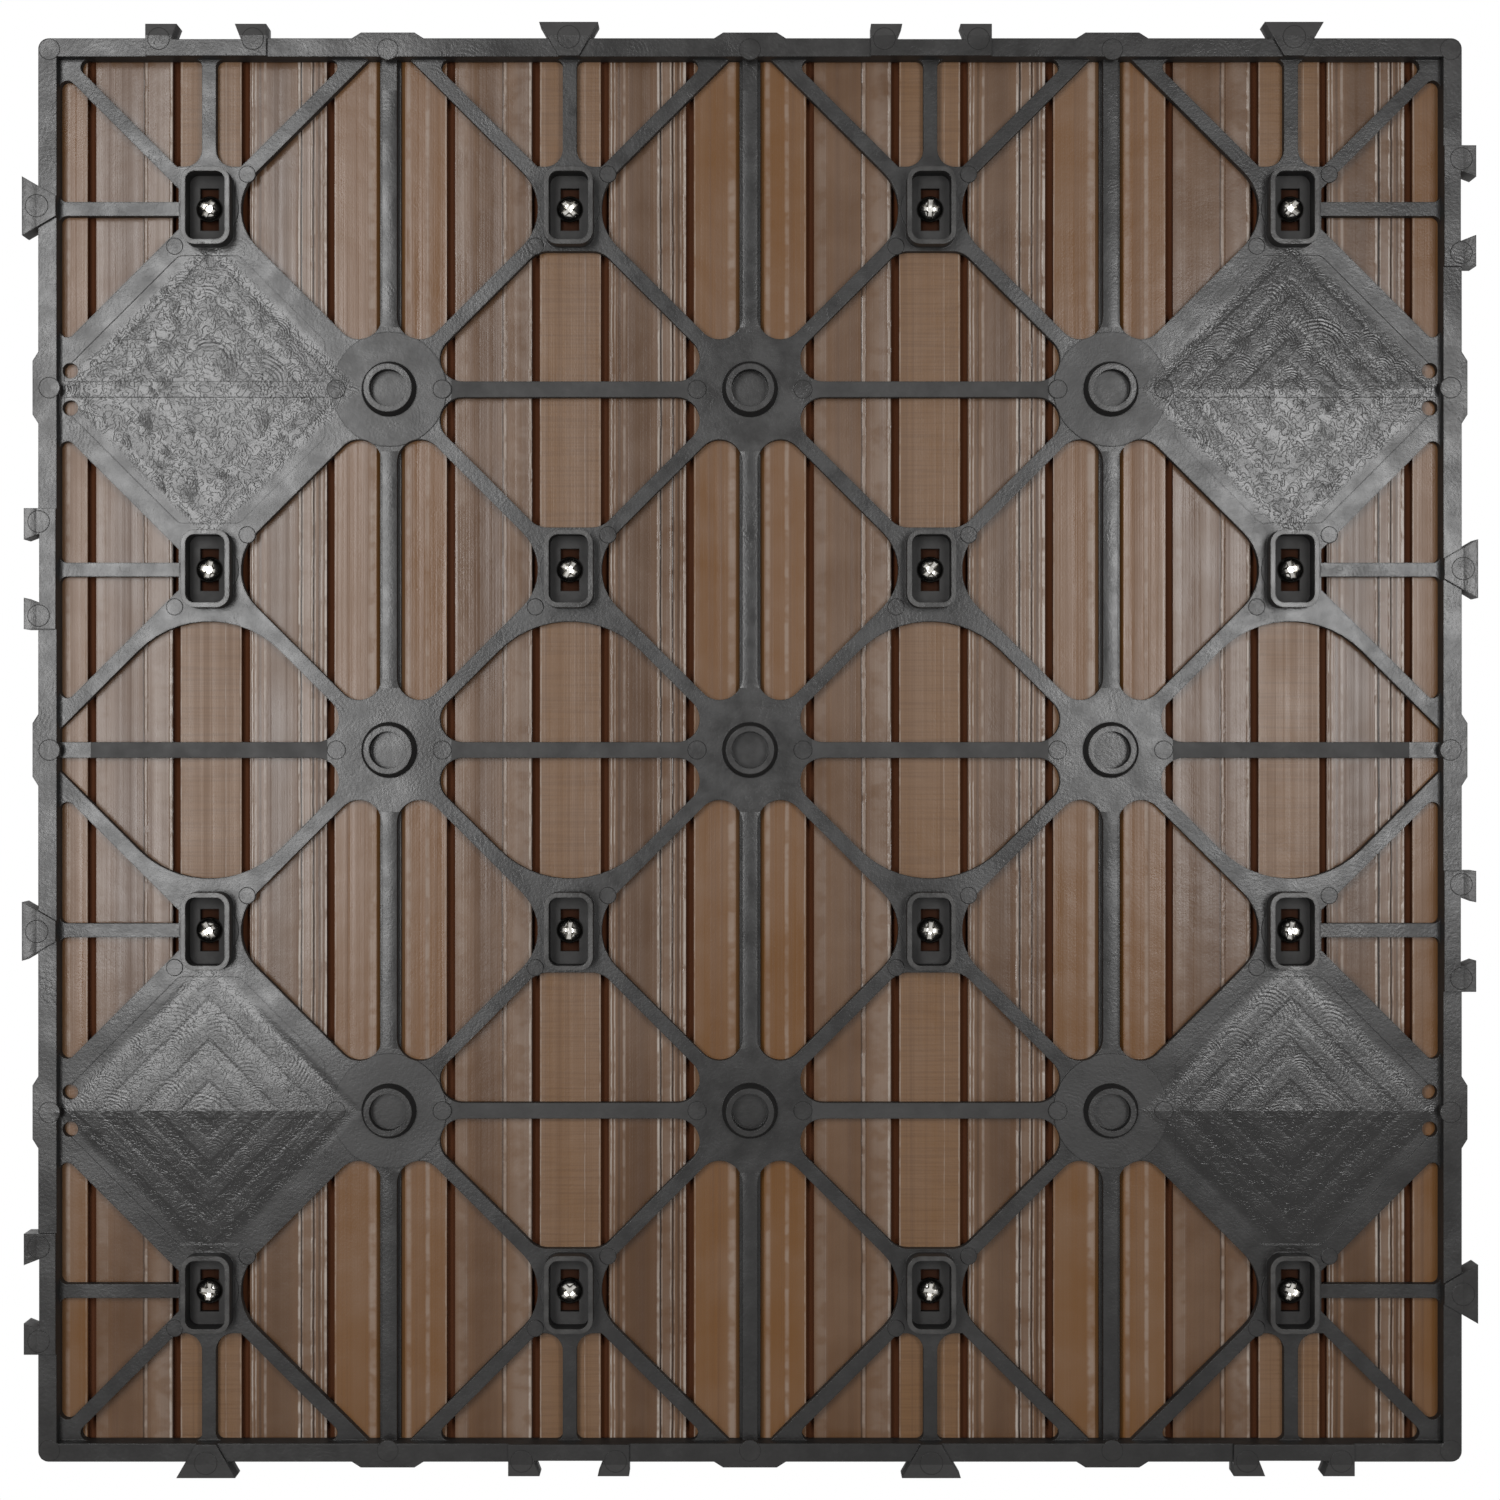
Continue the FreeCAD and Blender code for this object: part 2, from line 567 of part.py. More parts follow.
def make_slat(name, column):
    """One extruded board, ribbed underneath, with four blind pilot holes."""
    body = new_body(name)
    section = new_sketch(body, f"{name}_section", "XZ_Plane", "-dims.slat_length / 2")
    sole = "dims.deck_level"
    crown = "dims.deck_level + dims.slat_thickness"
    edge = "dims.slat_width / 2"
    foot_edge = f"({edge} - dims.slat_sole_bevel)"
    rib_edge = f"({edge} - dims.side_rib)"
    core_edge = "(dims.centre_rib / 2)"
    groove_top = f"{sole} + dims.groove_depth"
    flat = f"{sole} + dims.channel_depth"
    land = f"{sole} + dims.land_depth"
    corners = [
        (f"-{edge}", crown, "dims.slat_top_round"),
        (f"-{edge}", f"{sole} + dims.slat_sole_bevel", None),
        (f"-{foot_edge}", sole, None),
    ]
    # Each channel, from left to right: groove, flat, raised land, groove.
    for left, right in ((f"-{rib_edge}", f"-{core_edge}"), (core_edge, rib_edge)):
        corners += [
            (left, sole, None),
            (left, groove_top, None),
            (f"{left} + dims.groove_width", groove_top, None),
            (f"{left} + dims.groove_width", flat, None),
            (f"{right} - dims.groove_width - dims.land_width", flat, None),
            (f"{right} - dims.groove_width - dims.land_width", land, None),
            (f"{right} - dims.groove_width", land, None),
            (f"{right} - dims.groove_width", groove_top, None),
            (right, groove_top, None),
            (right, sole, None),
        ]
    corners += [
        (foot_edge, sole, None),
        (edge, f"{sole} + dims.slat_sole_bevel", None),
        (edge, crown, "dims.slat_top_round"),
    ]
    add_outline(section, corners)
    pad(body, f"{name}_board", section, "dims.slat_length")

    holes = new_sketch(body, f"{name}_pilots", level=sole)
    add_circle(holes, "0", outer, "dims.screw_shank / 2 + dims.pilot_gap")
    hole_depth = "dims.screw_length - dims.boss_floor + dims.pilot_extra"
    pilot = pocket(body, f"{name}_pilot", holes, hole_depth, upward=True)
    row = body.newObject("PartDesign::LinearPattern", f"{name}_pilot_row")
    row.Originals = [pilot]
    row.Direction = (origin_feature(body, "Y_Axis"), [""])
    row.Reversed = True
    row.Occurrences = boss_columns
    row.setExpression("Length", "dims.module * 3")
    body.Tip = row
    body.setExpression("Placement.Base.x", f"dims.module * {column - (slat_count - 1) / 2}")
    document.recompute()
    return body


# Screws

def make_screw():
    """Pan head screw with a cross recess, head down and seated on the boss floor."""
    body = new_body("screw_pattern_piece")
    profile = new_sketch(body, "screw_profile", "XZ_Plane")
    head_radius = "dims.screw_head / 2"
    shank_radius = "dims.screw_shank / 2"
    face = f"{seat_level} - dims.screw_head_height"
    end = f"{seat_level} + dims.screw_length"
    add_outline(profile, [
        ("0", face, None),
        (head_radius, face, None),
        (head_radius, seat_level, None),
        (shank_radius, seat_level, None),
        (shank_radius, end, None),
        ("0", end, None),
    ])
    turned = body.newObject("PartDesign::Revolution", "screw_blank")
    turned.Profile = profile
    turned.ReferenceAxis = (profile, ["V_Axis"])
    turned.Angle = 360
    document.recompute()

    cross = new_sketch(body, "screw_cross", level=face)
    arm = "dims.recess_width / 2"
    reach = "dims.recess_span / 2"
    quarter = [(arm, reach), (arm, arm), (reach, arm)]
    outline = []
    for x_sign, y_sign, order in (("", "", 1), ("", "-", -1), ("-", "-", 1), ("-", "", -1)):
        for x, y in quarter[::order]:
            outline.append((f"{x_sign}{x}", f"{y_sign}{y}", None))
    add_outline(cross, outline)
    pocket(body, "screw_recess", cross, "dims.recess_depth", upward=True)
    return body


def make_screw_group(name, column, screw):
    """The four screws of one slat, as separate solids in one node."""
    centre = measure("dims.module") * (column - (slat_count - 1) / 2)
    start = measure(outer)
    pitch = measure("dims.module")
    copies = []
    for place in range(boss_columns):
        copy = screw.Shape.copy()
        copy.translate(FreeCAD.Vector(0, place * pitch - start, 0))
        copies.append(copy)
    group = document.addObject("Part::Feature", name)
    group.Label = name
    group.Shape = Part.makeCompound(copies)
    group.Placement = FreeCAD.Placement(FreeCAD.Vector(centre, 0, 0), FreeCAD.Rotation())
    return group


def check_model(nodes):
    for item in document.Objects:
        if "Invalid" in item.State or "Error" in item.State:
            raise RuntimeError(f"{item.Name} failed: {item.State}")
    for node in nodes:
        if node.Shape.isNull() or not node.Shape.isValid():
            raise RuntimeError(f"{node.Label} has no valid shape")


def main():
    nodes = [make_base_grid()]
    screw = make_screw()
    for column in range(slat_count):
        nodes.append(make_slat(f"slat_{column + 1}", column))
    for column in range(slat_count):
        nodes.append(make_screw_group(f"slat_{column + 1}_screws", column, screw))
    document.recompute()
    check_model(nodes)
    os.makedirs("parts", exist_ok=True)
    for node in nodes:
        node.Shape.exportStep(f"parts/{node.Label}.step")
        print(node.Label, "solids", len(node.Shape.Solids), "volume", round(node.Shape.Volume, 1))


main()
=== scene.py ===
import math
import random

import bmesh
import bpy
from mathutils import Matrix, Vector


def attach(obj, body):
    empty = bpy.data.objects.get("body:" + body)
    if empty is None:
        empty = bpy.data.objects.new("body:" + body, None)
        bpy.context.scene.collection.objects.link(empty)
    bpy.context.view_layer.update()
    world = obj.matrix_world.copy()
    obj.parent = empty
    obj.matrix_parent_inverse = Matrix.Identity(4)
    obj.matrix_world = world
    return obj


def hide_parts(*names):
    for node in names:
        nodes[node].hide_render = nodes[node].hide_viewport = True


# Interlocking deck tile, looked at from below, where its moulded grid shows.
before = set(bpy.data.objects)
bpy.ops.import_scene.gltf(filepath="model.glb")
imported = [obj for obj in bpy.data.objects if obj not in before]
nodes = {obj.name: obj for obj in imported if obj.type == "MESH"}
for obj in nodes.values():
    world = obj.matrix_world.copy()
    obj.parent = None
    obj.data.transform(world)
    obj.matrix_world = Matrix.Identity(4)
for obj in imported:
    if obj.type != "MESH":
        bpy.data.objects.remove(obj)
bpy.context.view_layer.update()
print("frame:", len(nodes), "nodes")

mm = 0.001

# The grid repeats with one module: bosses at odd half modules, feet at whole modules.
tile = {
    "module": 75.6 * mm,
    "bossSteps": (-1.5, -0.5, 0.5, 1.5),
    "footSteps": (-1, 0, 1),
    "linkLevel": 1.3 * mm,
    "frameLevel": 2.5 * mm,
    "hubLevel": 5.75 * mm,
    "webLevel": 6.2 * mm,
    "seatLevel": 7.2 * mm,
    "deckLevel": 9.4 * mm,
}


class Wire:
    # one output socket of a shader node; arithmetic on it adds Math nodes
    def __init__(self, tree, socket=None):
        self.tree = tree
        self.socket = socket

    def add(self, kind, settings=None, sockets=None, output=0):
        node = self.tree.nodes.new(kind)
        for name, value in (settings or {}).items():
            setattr(node, name, value)
        for name, value in (sockets or {}).items():
            if isinstance(value, Wire):
                self.tree.links.new(value.socket, node.inputs[name])
            else:
                node.inputs[name].default_value = value
        return Wire(self.tree, node.outputs[output] if node.outputs else None)

    def also(self, output):
        # another output of the same node
        return Wire(self.tree, self.socket.node.outputs[output])

    def maths(self, operation, *values):
        return self.add("ShaderNodeMath", {"operation": operation}, dict(enumerate(values)))

    def __add__(self, other):
        return self.maths("ADD", self, other)

    def __radd__(self, other):
        return self.maths("ADD", other, self)

    def __sub__(self, other):
        return self.maths("SUBTRACT", self, other)

    def __rsub__(self, other):
        return self.maths("SUBTRACT", other, self)

    def __mul__(self, other):
        return self.maths("MULTIPLY", self, other)

    def __rmul__(self, other):
        return self.maths("MULTIPLY", other, self)

    def __truediv__(self, other):
        return self.maths("DIVIDE", self, other)

    def __mod__(self, other):
        return self.maths("FLOORED_MODULO", self, other)

    def __abs__(self):
        return self.maths("ABSOLUTE", self)

    def sign(self):
        return self.maths("SIGN", self)

    def __lt__(self, other):
        return self.maths("LESS_THAN", self, other)

    def __gt__(self, other):
        return self.maths("GREATER_THAN", self, other)


def newMaterial(name):
    material = bpy.data.materials.new(name)
    material.use_nodes = True
    material.node_tree.nodes.clear()
    return material, Wire(material.node_tree)


def rgba(colour):
    return (*colour, 1.0)


def mixColour(start, factor, first, second):
    return start.add("ShaderNodeMix", {"data_type": "RGBA"}, {0: factor, 6: first, 7: second}, 2)


def spread(value, low, high, toLow=0.0, toHigh=1.0, smooth=False):
    # a value from one range to another, held at the ends
    settings = {"interpolation_type": "SMOOTHSTEP" if smooth else "LINEAR"}
    return value.add("ShaderNodeMapRange", settings, {0: value, 1: low, 2: high, 3: toLow, 4: toHigh})


def between(value, low, high):
    return (value > low) * (value < high)


def fromNearest(value, pitch):
    # how far a place is from the nearest of a row of lines, the first at 0
    return abs((value + pitch / 2) % pitch - pitch / 2)


def partAlong(start, vector, axis):
    return abs(start.add("ShaderNodeSeparateXYZ", {}, {0: vector}, axis))


def vectorMaths(start, operation, sockets, output=0):
    return start.add("ShaderNodeVectorMath", {"operation": operation}, sockets, output)


def noise(start, place, scale, detail=3.0, roughness=0.5, stretch=(1, 1, 1)):
    stretched = vectorMaths(start, "MULTIPLY", {0: place, 1: stretch})
    sockets = {"Vector": stretched, "Scale": scale, "Detail": detail, "Roughness": roughness}
    return start.add("ShaderNodeTexNoise", {}, sockets)


def shifted(start, place, amount, scale):
    # the same places, each pushed a little by noise
    drift = noise(start, place, scale, 2.0).also("Color")
    return vectorMaths(start, "MULTIPLY_ADD", {0: drift, 1: (amount, amount, amount), 2: place})


def bump(start, height, distance=1.0, normal=None):
    # heights are in metres unless a distance is given
    sockets = {"Height": height, "Distance": distance, "Strength": 1.0}
    if normal is not None:
        sockets["Normal"] = normal
    return start.add("ShaderNodeBump", {}, sockets, "Normal")


def zonedRoughness(base, usual, zones):
    # roughness that steps from its usual value to another inside each zone
    roughness = base + usual
    for zone, own in zones:
        roughness = roughness + zone * (own - usual)
    return roughness


def finishMaterial(material, shader):
    shader.add("ShaderNodeOutputMaterial", {}, {"Surface": shader})
    print("material:", material.name)
    return material


# Moulded grid: dark polypropylene, satin, with tool marks in its plates and softened edges
gridLook = {
    "colour": (0.0115, 0.0108, 0.0104),
    "paleColour": (0.022, 0.0208, 0.0202),
    "lowFaceColour": (0.050, 0.048, 0.046),
    "wallShadeColour": (0.0060, 0.0056, 0.0054),
    "gloss": 0.27,
    "ribRoughness": 0.24,
    "crossRibRoughness": 0.50,
    "hubRoughness": 0.31,
    "plateRoughness": 0.17,
    "seatRoughness": 0.55,
    "wallRoughness": 0.60,
    "roughnessSpread": 0.12,
    "edgeRadius": 0.30 * mm,
    "pitting": 0.022 * mm,
    "warp": 0.8 * mm,
    "warpOnPlates": 0.45,
    "faceDepth": 0.5 * mm,       # what lies no deeper than this past the web counts as its face
    "seatDepth": (0.8 * mm, 1.1 * mm),
    "hubRise": (0.6 * mm, 0.3 * mm),
    "lowFaceHeight": (0.9 * mm, 0.1 * mm),
    "ribCrown": 0.12 * mm,
    "ribHalfWidth": 2.3 * mm,
    "hubReach": 13.0 * mm,
    "wideArcs": (9.0 * mm, 0.82 * mm),       # scale of a swirl, spacing of its lines
    "tightArcs": (5.0 * mm, 0.54 * mm),
    "arcDrift": 2.2 * mm,
    "arcHeading": (0.77, -0.64, 0),
    "arcDepth": 0.020 * mm,
    "arcsOnWeb": 0.4,
    "scratchDepth": 0.013 * mm,
    "scratchTwist": 1.6,
    "calmShare": 0.55,           # share of these marks on the plates at +Y, which a finer tool cut
    "diamondPitch": 8.7 * mm,
    "diamondDepth": 0.022 * mm,
    "diamondSheen": 0.05,
    "plateReach": 33 * mm,
    "plateBorder": 3 * mm,
    "stepBorder": (4 * mm, 2 * mm),
    "stepBlur": 2.5,             # how far the low step round a plate's face is smoothed away
    "plateTilt": 0.020,          # slope of the two halves of a plate, away from its crease
    # noise features to the metre
    "cloudScale": 26.0,
    "patchScale": 75.0,
    "driftScale": 120.0,
    "blotchScale": 190.0,
    "scratchScale": 520.0,
    "pittingScale": 1300.0,
}


def toolArcs(start, place, size, spacing):
    # crescents on one side of scattered centres, cut off by their neighbours like fish scales
    sockets = {"Vector": place, "Scale": 1 / size, "Randomness": 1.0}
    cell = start.add("ShaderNodeTexVoronoi", {"voronoi_dimensions": "2D"}, sockets, "Distance")
    away = vectorMaths(start, "SUBTRACT", {0: place, 1: cell.also("Position")})
    ahead = vectorMaths(start, "DOT_PRODUCT", {0: away, 1: gridLook["arcHeading"]}, "Value")
    lines = abs((cell * size % spacing) / spacing - 0.5) * 2 - 0.5
    return lines * spread(ahead, -0.05 * size, 0.2 * size)


def makeGridMaterial():
    look = gridLook
    material, start = newMaterial("gridPlastic")
    place = start.add("ShaderNodeTexCoord", {}, {}, "Object")
    x = start.add("ShaderNodeSeparateXYZ", {}, {0: place}, "X")
    y = x.also("Y")
    z = x.also("Z")

    # how far from the middle of the nearest plate, measured along its sides
    module = tile["module"]
    web = tile["webLevel"]
    diamond = abs(abs(x) - 1.5 * module) + abs(abs(y) - module)
    reach = look["plateReach"]
    onFace = z < web + look["faceDepth"]
    onPlate = spread(diamond, reach, reach - look["plateBorder"], smooth=True) * onFace
    upright = start.add("ShaderNodeNewGeometry", {}, {}, "True Normal")
    onWall = partAlong(start, upright, "Z") < 0.5

    clouds = noise(start, place, look["cloudScale"], 2.0, 0.55)
    patches = noise(start, place, look["patchScale"], 2.0, 0.55)
    blotches = noise(start, place, look["blotchScale"], 3.0, 0.6)
    pits = noise(start, place, look["pittingScale"], 2.0, 0.65)
    colour = mixColour(
        start, spread(clouds + pits * 0.4, 0.5, 0.95), rgba(look["colour"]), rgba(look["paleColour"]))
    # steep faces are painted near black: painted shade on the sides of ribs, bosses and the frame
    colour = mixColour(start, onWall, colour, rgba(look["wallShadeColour"]))
    # the lowest faces, the boss rims that stand on the ground, are paler in patches
    paleLowFaces = spread(z, *look["lowFaceHeight"]) * spread(blotches, 0.35, 0.60, 0.3, 1.0)
    colour = mixColour(start, paleLowFaces, colour, rgba(look["lowFaceColour"]))

    # crescents and scratches on the plates, fewer on the web, and raised diamonds one inside the other
    drifted = shifted(start, place, look["arcDrift"], look["driftScale"])
    wideArcs = toolArcs(start, drifted, *look["wideArcs"]) * spread(patches, 0.42, 0.56, 0.2, 1.0)
    tightArcs = toolArcs(start, drifted, *look["tightArcs"]) * spread(patches, 0.58, 0.42, 0.2, 1.0)
    swirls = (wideArcs + tightArcs) * spread(blotches, 0.36, 0.52, 0.45, 1.0)
    swirled = spread(onPlate + look["arcsOnWeb"] * onFace * spread(patches, 0.52, 0.60), 0.0, 1.0)
    swirled = swirled * spread(y, -0.5 * module, 0.5 * module, 1.0, look["calmShare"])
    sockets = {
        "Vector": place,
        "Scale": look["scratchScale"],
        "Detail": 1.0,
        "Distortion": look["scratchTwist"],
    }
    scratches = start.add("ShaderNodeTexNoise", {}, sockets)
    scratches = spread(abs(scratches - 0.5), 0.0, 0.06, -1.0, 0.0)
    pitch = look["diamondPitch"]
    bands = spread(abs((diamond % pitch) / pitch - 0.5), 0.16, 0.31, smooth=True) * onPlate

    # long ribs are crowned, and both halves of a plate lean away from its crease
    fromColumn = fromNearest(x, module)
    fromHub = fromNearest(y, module)
    besideRib = fromColumn / look["ribHalfWidth"]
    crown = besideRib * besideRib * (besideRib < 1.1) * (fromHub > look["hubReach"]) * onFace
    lean = (abs(y) - module).sign() * y.sign() * onPlate * look["plateTilt"]
    outer, inner = look["stepBorder"]
    onStep = spread(diamond, reach + outer, reach + inner) * onFace * (z > web - 0.1 * mm)
    softened = start.add("ShaderNodeBevel", {"samples": 2}, {"Radius": look["edgeRadius"]})
    flat = vectorMaths(start, "SCALE", {0: upright, "Scale": onStep * look["stepBlur"]})
    softened = vectorMaths(start, "NORMALIZE", {0: vectorMaths(start, "ADD", {0: softened, 1: flat})})
    leaning = start.add("ShaderNodeCombineXYZ", {}, {"Y": lean})
    leaning = vectorMaths(start, "ADD", {0: softened, 1: leaning})
    marks = swirls * swirled * look["arcDepth"] + bands * look["diamondDepth"] - crown * look["ribCrown"]
    marks = marks + scratches * swirled * look["scratchDepth"] + pits * look["pitting"]
    marks = marks + (clouds - 0.5) * (1 - (1 - look["warpOnPlates"]) * onPlate) * look["warp"]

    spreadHalf = look["roughnessSpread"] / 2
    satin = spread(blotches, 0.3, 0.7, -spreadHalf, spreadHalf) * (1 - 0.8 * onPlate)
    satin = satin + bands * spread(blotches, 0.38, 0.55, 0.4, 1.0) * look["diamondSheen"]
    seatTop, seatFloor = look["seatDepth"]
    hubNear, hubFar = look["hubRise"]
    onCrossRib = (fromHub < look["ribHalfWidth"]) * (fromColumn > look["hubReach"]) * onFace * (1 - onPlate)
    roughness = zonedRoughness(satin, look["ribRoughness"], (
        (onPlate, look["plateRoughness"]),
        (between(z, web + seatTop, web + seatFloor), look["seatRoughness"]),
        (onWall, look["wallRoughness"]),
        (onCrossRib, look["crossRibRoughness"]),
        (between(z, web - hubNear, web - hubFar), look["hubRoughness"]),
    ))
    shader = start.add("ShaderNodeBsdfPrincipled", {}, {
        "Base Color": colour,
        "Roughness": roughness,
        "Specular IOR Level": look["gloss"],
        "Normal": bump(start, marks, normal=leaning),
    })
    return finishMaterial(material, shader)


# Composite slats: extruded along Y; sawn ribs, glossy drawn lines in the channels with painted highlights
# and painted shade along them, narrow grooves darkened with painted shade, painted shade round each screw
slatLook = {
    "sideColour": (0.163, 0.072, 0.021),
    "middleColour": (0.178, 0.092, 0.039),
    "channelColour": (0.120, 0.060, 0.028),
    "paleColour": (0.190, 0.112, 0.066),
    "streakColour": (0.060, 0.022, 0.007),
    "grooveShadeColour": (0.085, 0.027, 0.009),
    "screwShadeColour": (0.030, 0.010, 0.004),
    "highlightLineColour": (0.50, 0.44, 0.39),
    "lineShadeColour": (0.010, 0.005, 0.003),
    "deckColour": (0.165, 0.090, 0.052),
    "gloss": 0.19,
    "soleRoughness": 0.25,
    "middleRoughness": 0.30,
    "channelRoughness": 0.24,
    "grooveRoughness": 0.85,
    "roughnessSpread": 0.18,
    "drawnDepth": 0.035 * mm,
    "hollows": 0.16 * mm,
    "ripple": 0.20 * mm,
    "sawDepth": 0.010 * mm,
    "grain": 0.010 * mm,
    "lineRise": 0.10 * mm,
    "wander": 0.5 * mm,
    "middleRib": 6.4 * mm,
    "sideRib": 26.0 * mm,
    "halfWidth": 35.9 * mm,
    "soleDepth": 0.3 * mm,
    "grooveFloor": 1.1 * mm,
    "undersideDepth": 3.6 * mm,
    "screwShade": (4.6 * mm, 7.2 * mm),      # half width and half length of the painted shade at each screw
    # noise features to the metre, along x, y and z where they are drawn out
    "mottleScale": 45.0,
    "dustScale": 1800.0,
    "fineStreaks": (2400, 9, 2400),
    "streaks": (800, 4, 800),
    "bands": (170, 3, 170),
    "sawMarks": (60, 2600, 60),
    "twist": (260, 330, 260),
    "wobble": (30, 24, 30),
    # offset from the slat's middle, half width and share of each painted highlight: thin lines and broad
    # bands of painted sheen
    "highlightLines": (
        (-34.0 * mm, 0.5 * mm, 0.25),
        (-30.0 * mm, 0.45 * mm, 0.30),
        (-22.8 * mm, 1.2 * mm, 0.12),
        (-10.3 * mm, 2.2 * mm, 0.16),
        (20.3 * mm, 0.9 * mm, 0.12),
        (-26.2 * mm, 0.15 * mm, 0.30),
        (-24.6 * mm, 0.20 * mm, 0.30),
        (-21.9 * mm, 0.12 * mm, 0.18),
        (-13.8 * mm, 0.35 * mm, 0.42),
        (-8.5 * mm, 0.30 * mm, 0.70),
        (-6.2 * mm, 0.15 * mm, 0.35),
        (3.1 * mm, 0.10 * mm, 0.28),
        (6.2 * mm, 0.15 * mm, 0.35),
        (8.6 * mm, 0.18 * mm, 0.75),
        (9.3 * mm, 0.16 * mm, 0.60),
        (11.3 * mm, 0.30 * mm, 0.35),
        (18.5 * mm, 0.28 * mm, 0.85),
        (19.3 * mm, 0.14 * mm, 0.50),
        (21.1 * mm, 0.18 * mm, 0.70),
        (21.9 * mm, 0.12 * mm, 0.60),
        (23.2 * mm, 0.14 * mm, 0.50),
        (24.1 * mm, 0.35 * mm, 0.80),
        (26.2 * mm, 0.15 * mm, 0.30),
        (34.0 * mm, 0.8 * mm, 0.30),
    ),
    # the same for each line that stands proud
    "ridges": (
        (-13.8 * mm, 0.35 * mm, 0.6),
        (-8.5 * mm, 0.30 * mm, 0.8),
        (8.6 * mm, 0.22 * mm, 0.8),
        (18.5 * mm, 0.28 * mm, 1.0),
        (21.2 * mm, 0.25 * mm, 0.7),
        (24.1 * mm, 0.35 * mm, 0.8),
    ),
    # the same for each line and band of painted shade
    "shadeLines": (
        (-14.3 * mm, 0.20 * mm, 0.60),
        (-8.05 * mm, 0.20 * mm, 0.70),
        (10.2 * mm, 0.30 * mm, 0.35),
        (14.6 * mm, 3.0 * mm, 0.24),
        (-17.5 * mm, 2.8 * mm, 0.12),
        (18.95 * mm, 0.18 * mm, 0.95),
        (21.5 * mm, 0.18 * mm, 0.85),
        (22.7 * mm, 0.22 * mm, 0.45),
    ),
}


def drawnLines(across, lines):
    # strongest of the lines at each place
    strongest = None
    for offset, halfWidth, share in lines:
        line = spread(abs(across - offset), halfWidth * 1.3, halfWidth * 0.5, 0.0, share)
        strongest = line if strongest is None else line.maths("MAXIMUM", line, strongest)
    return strongest


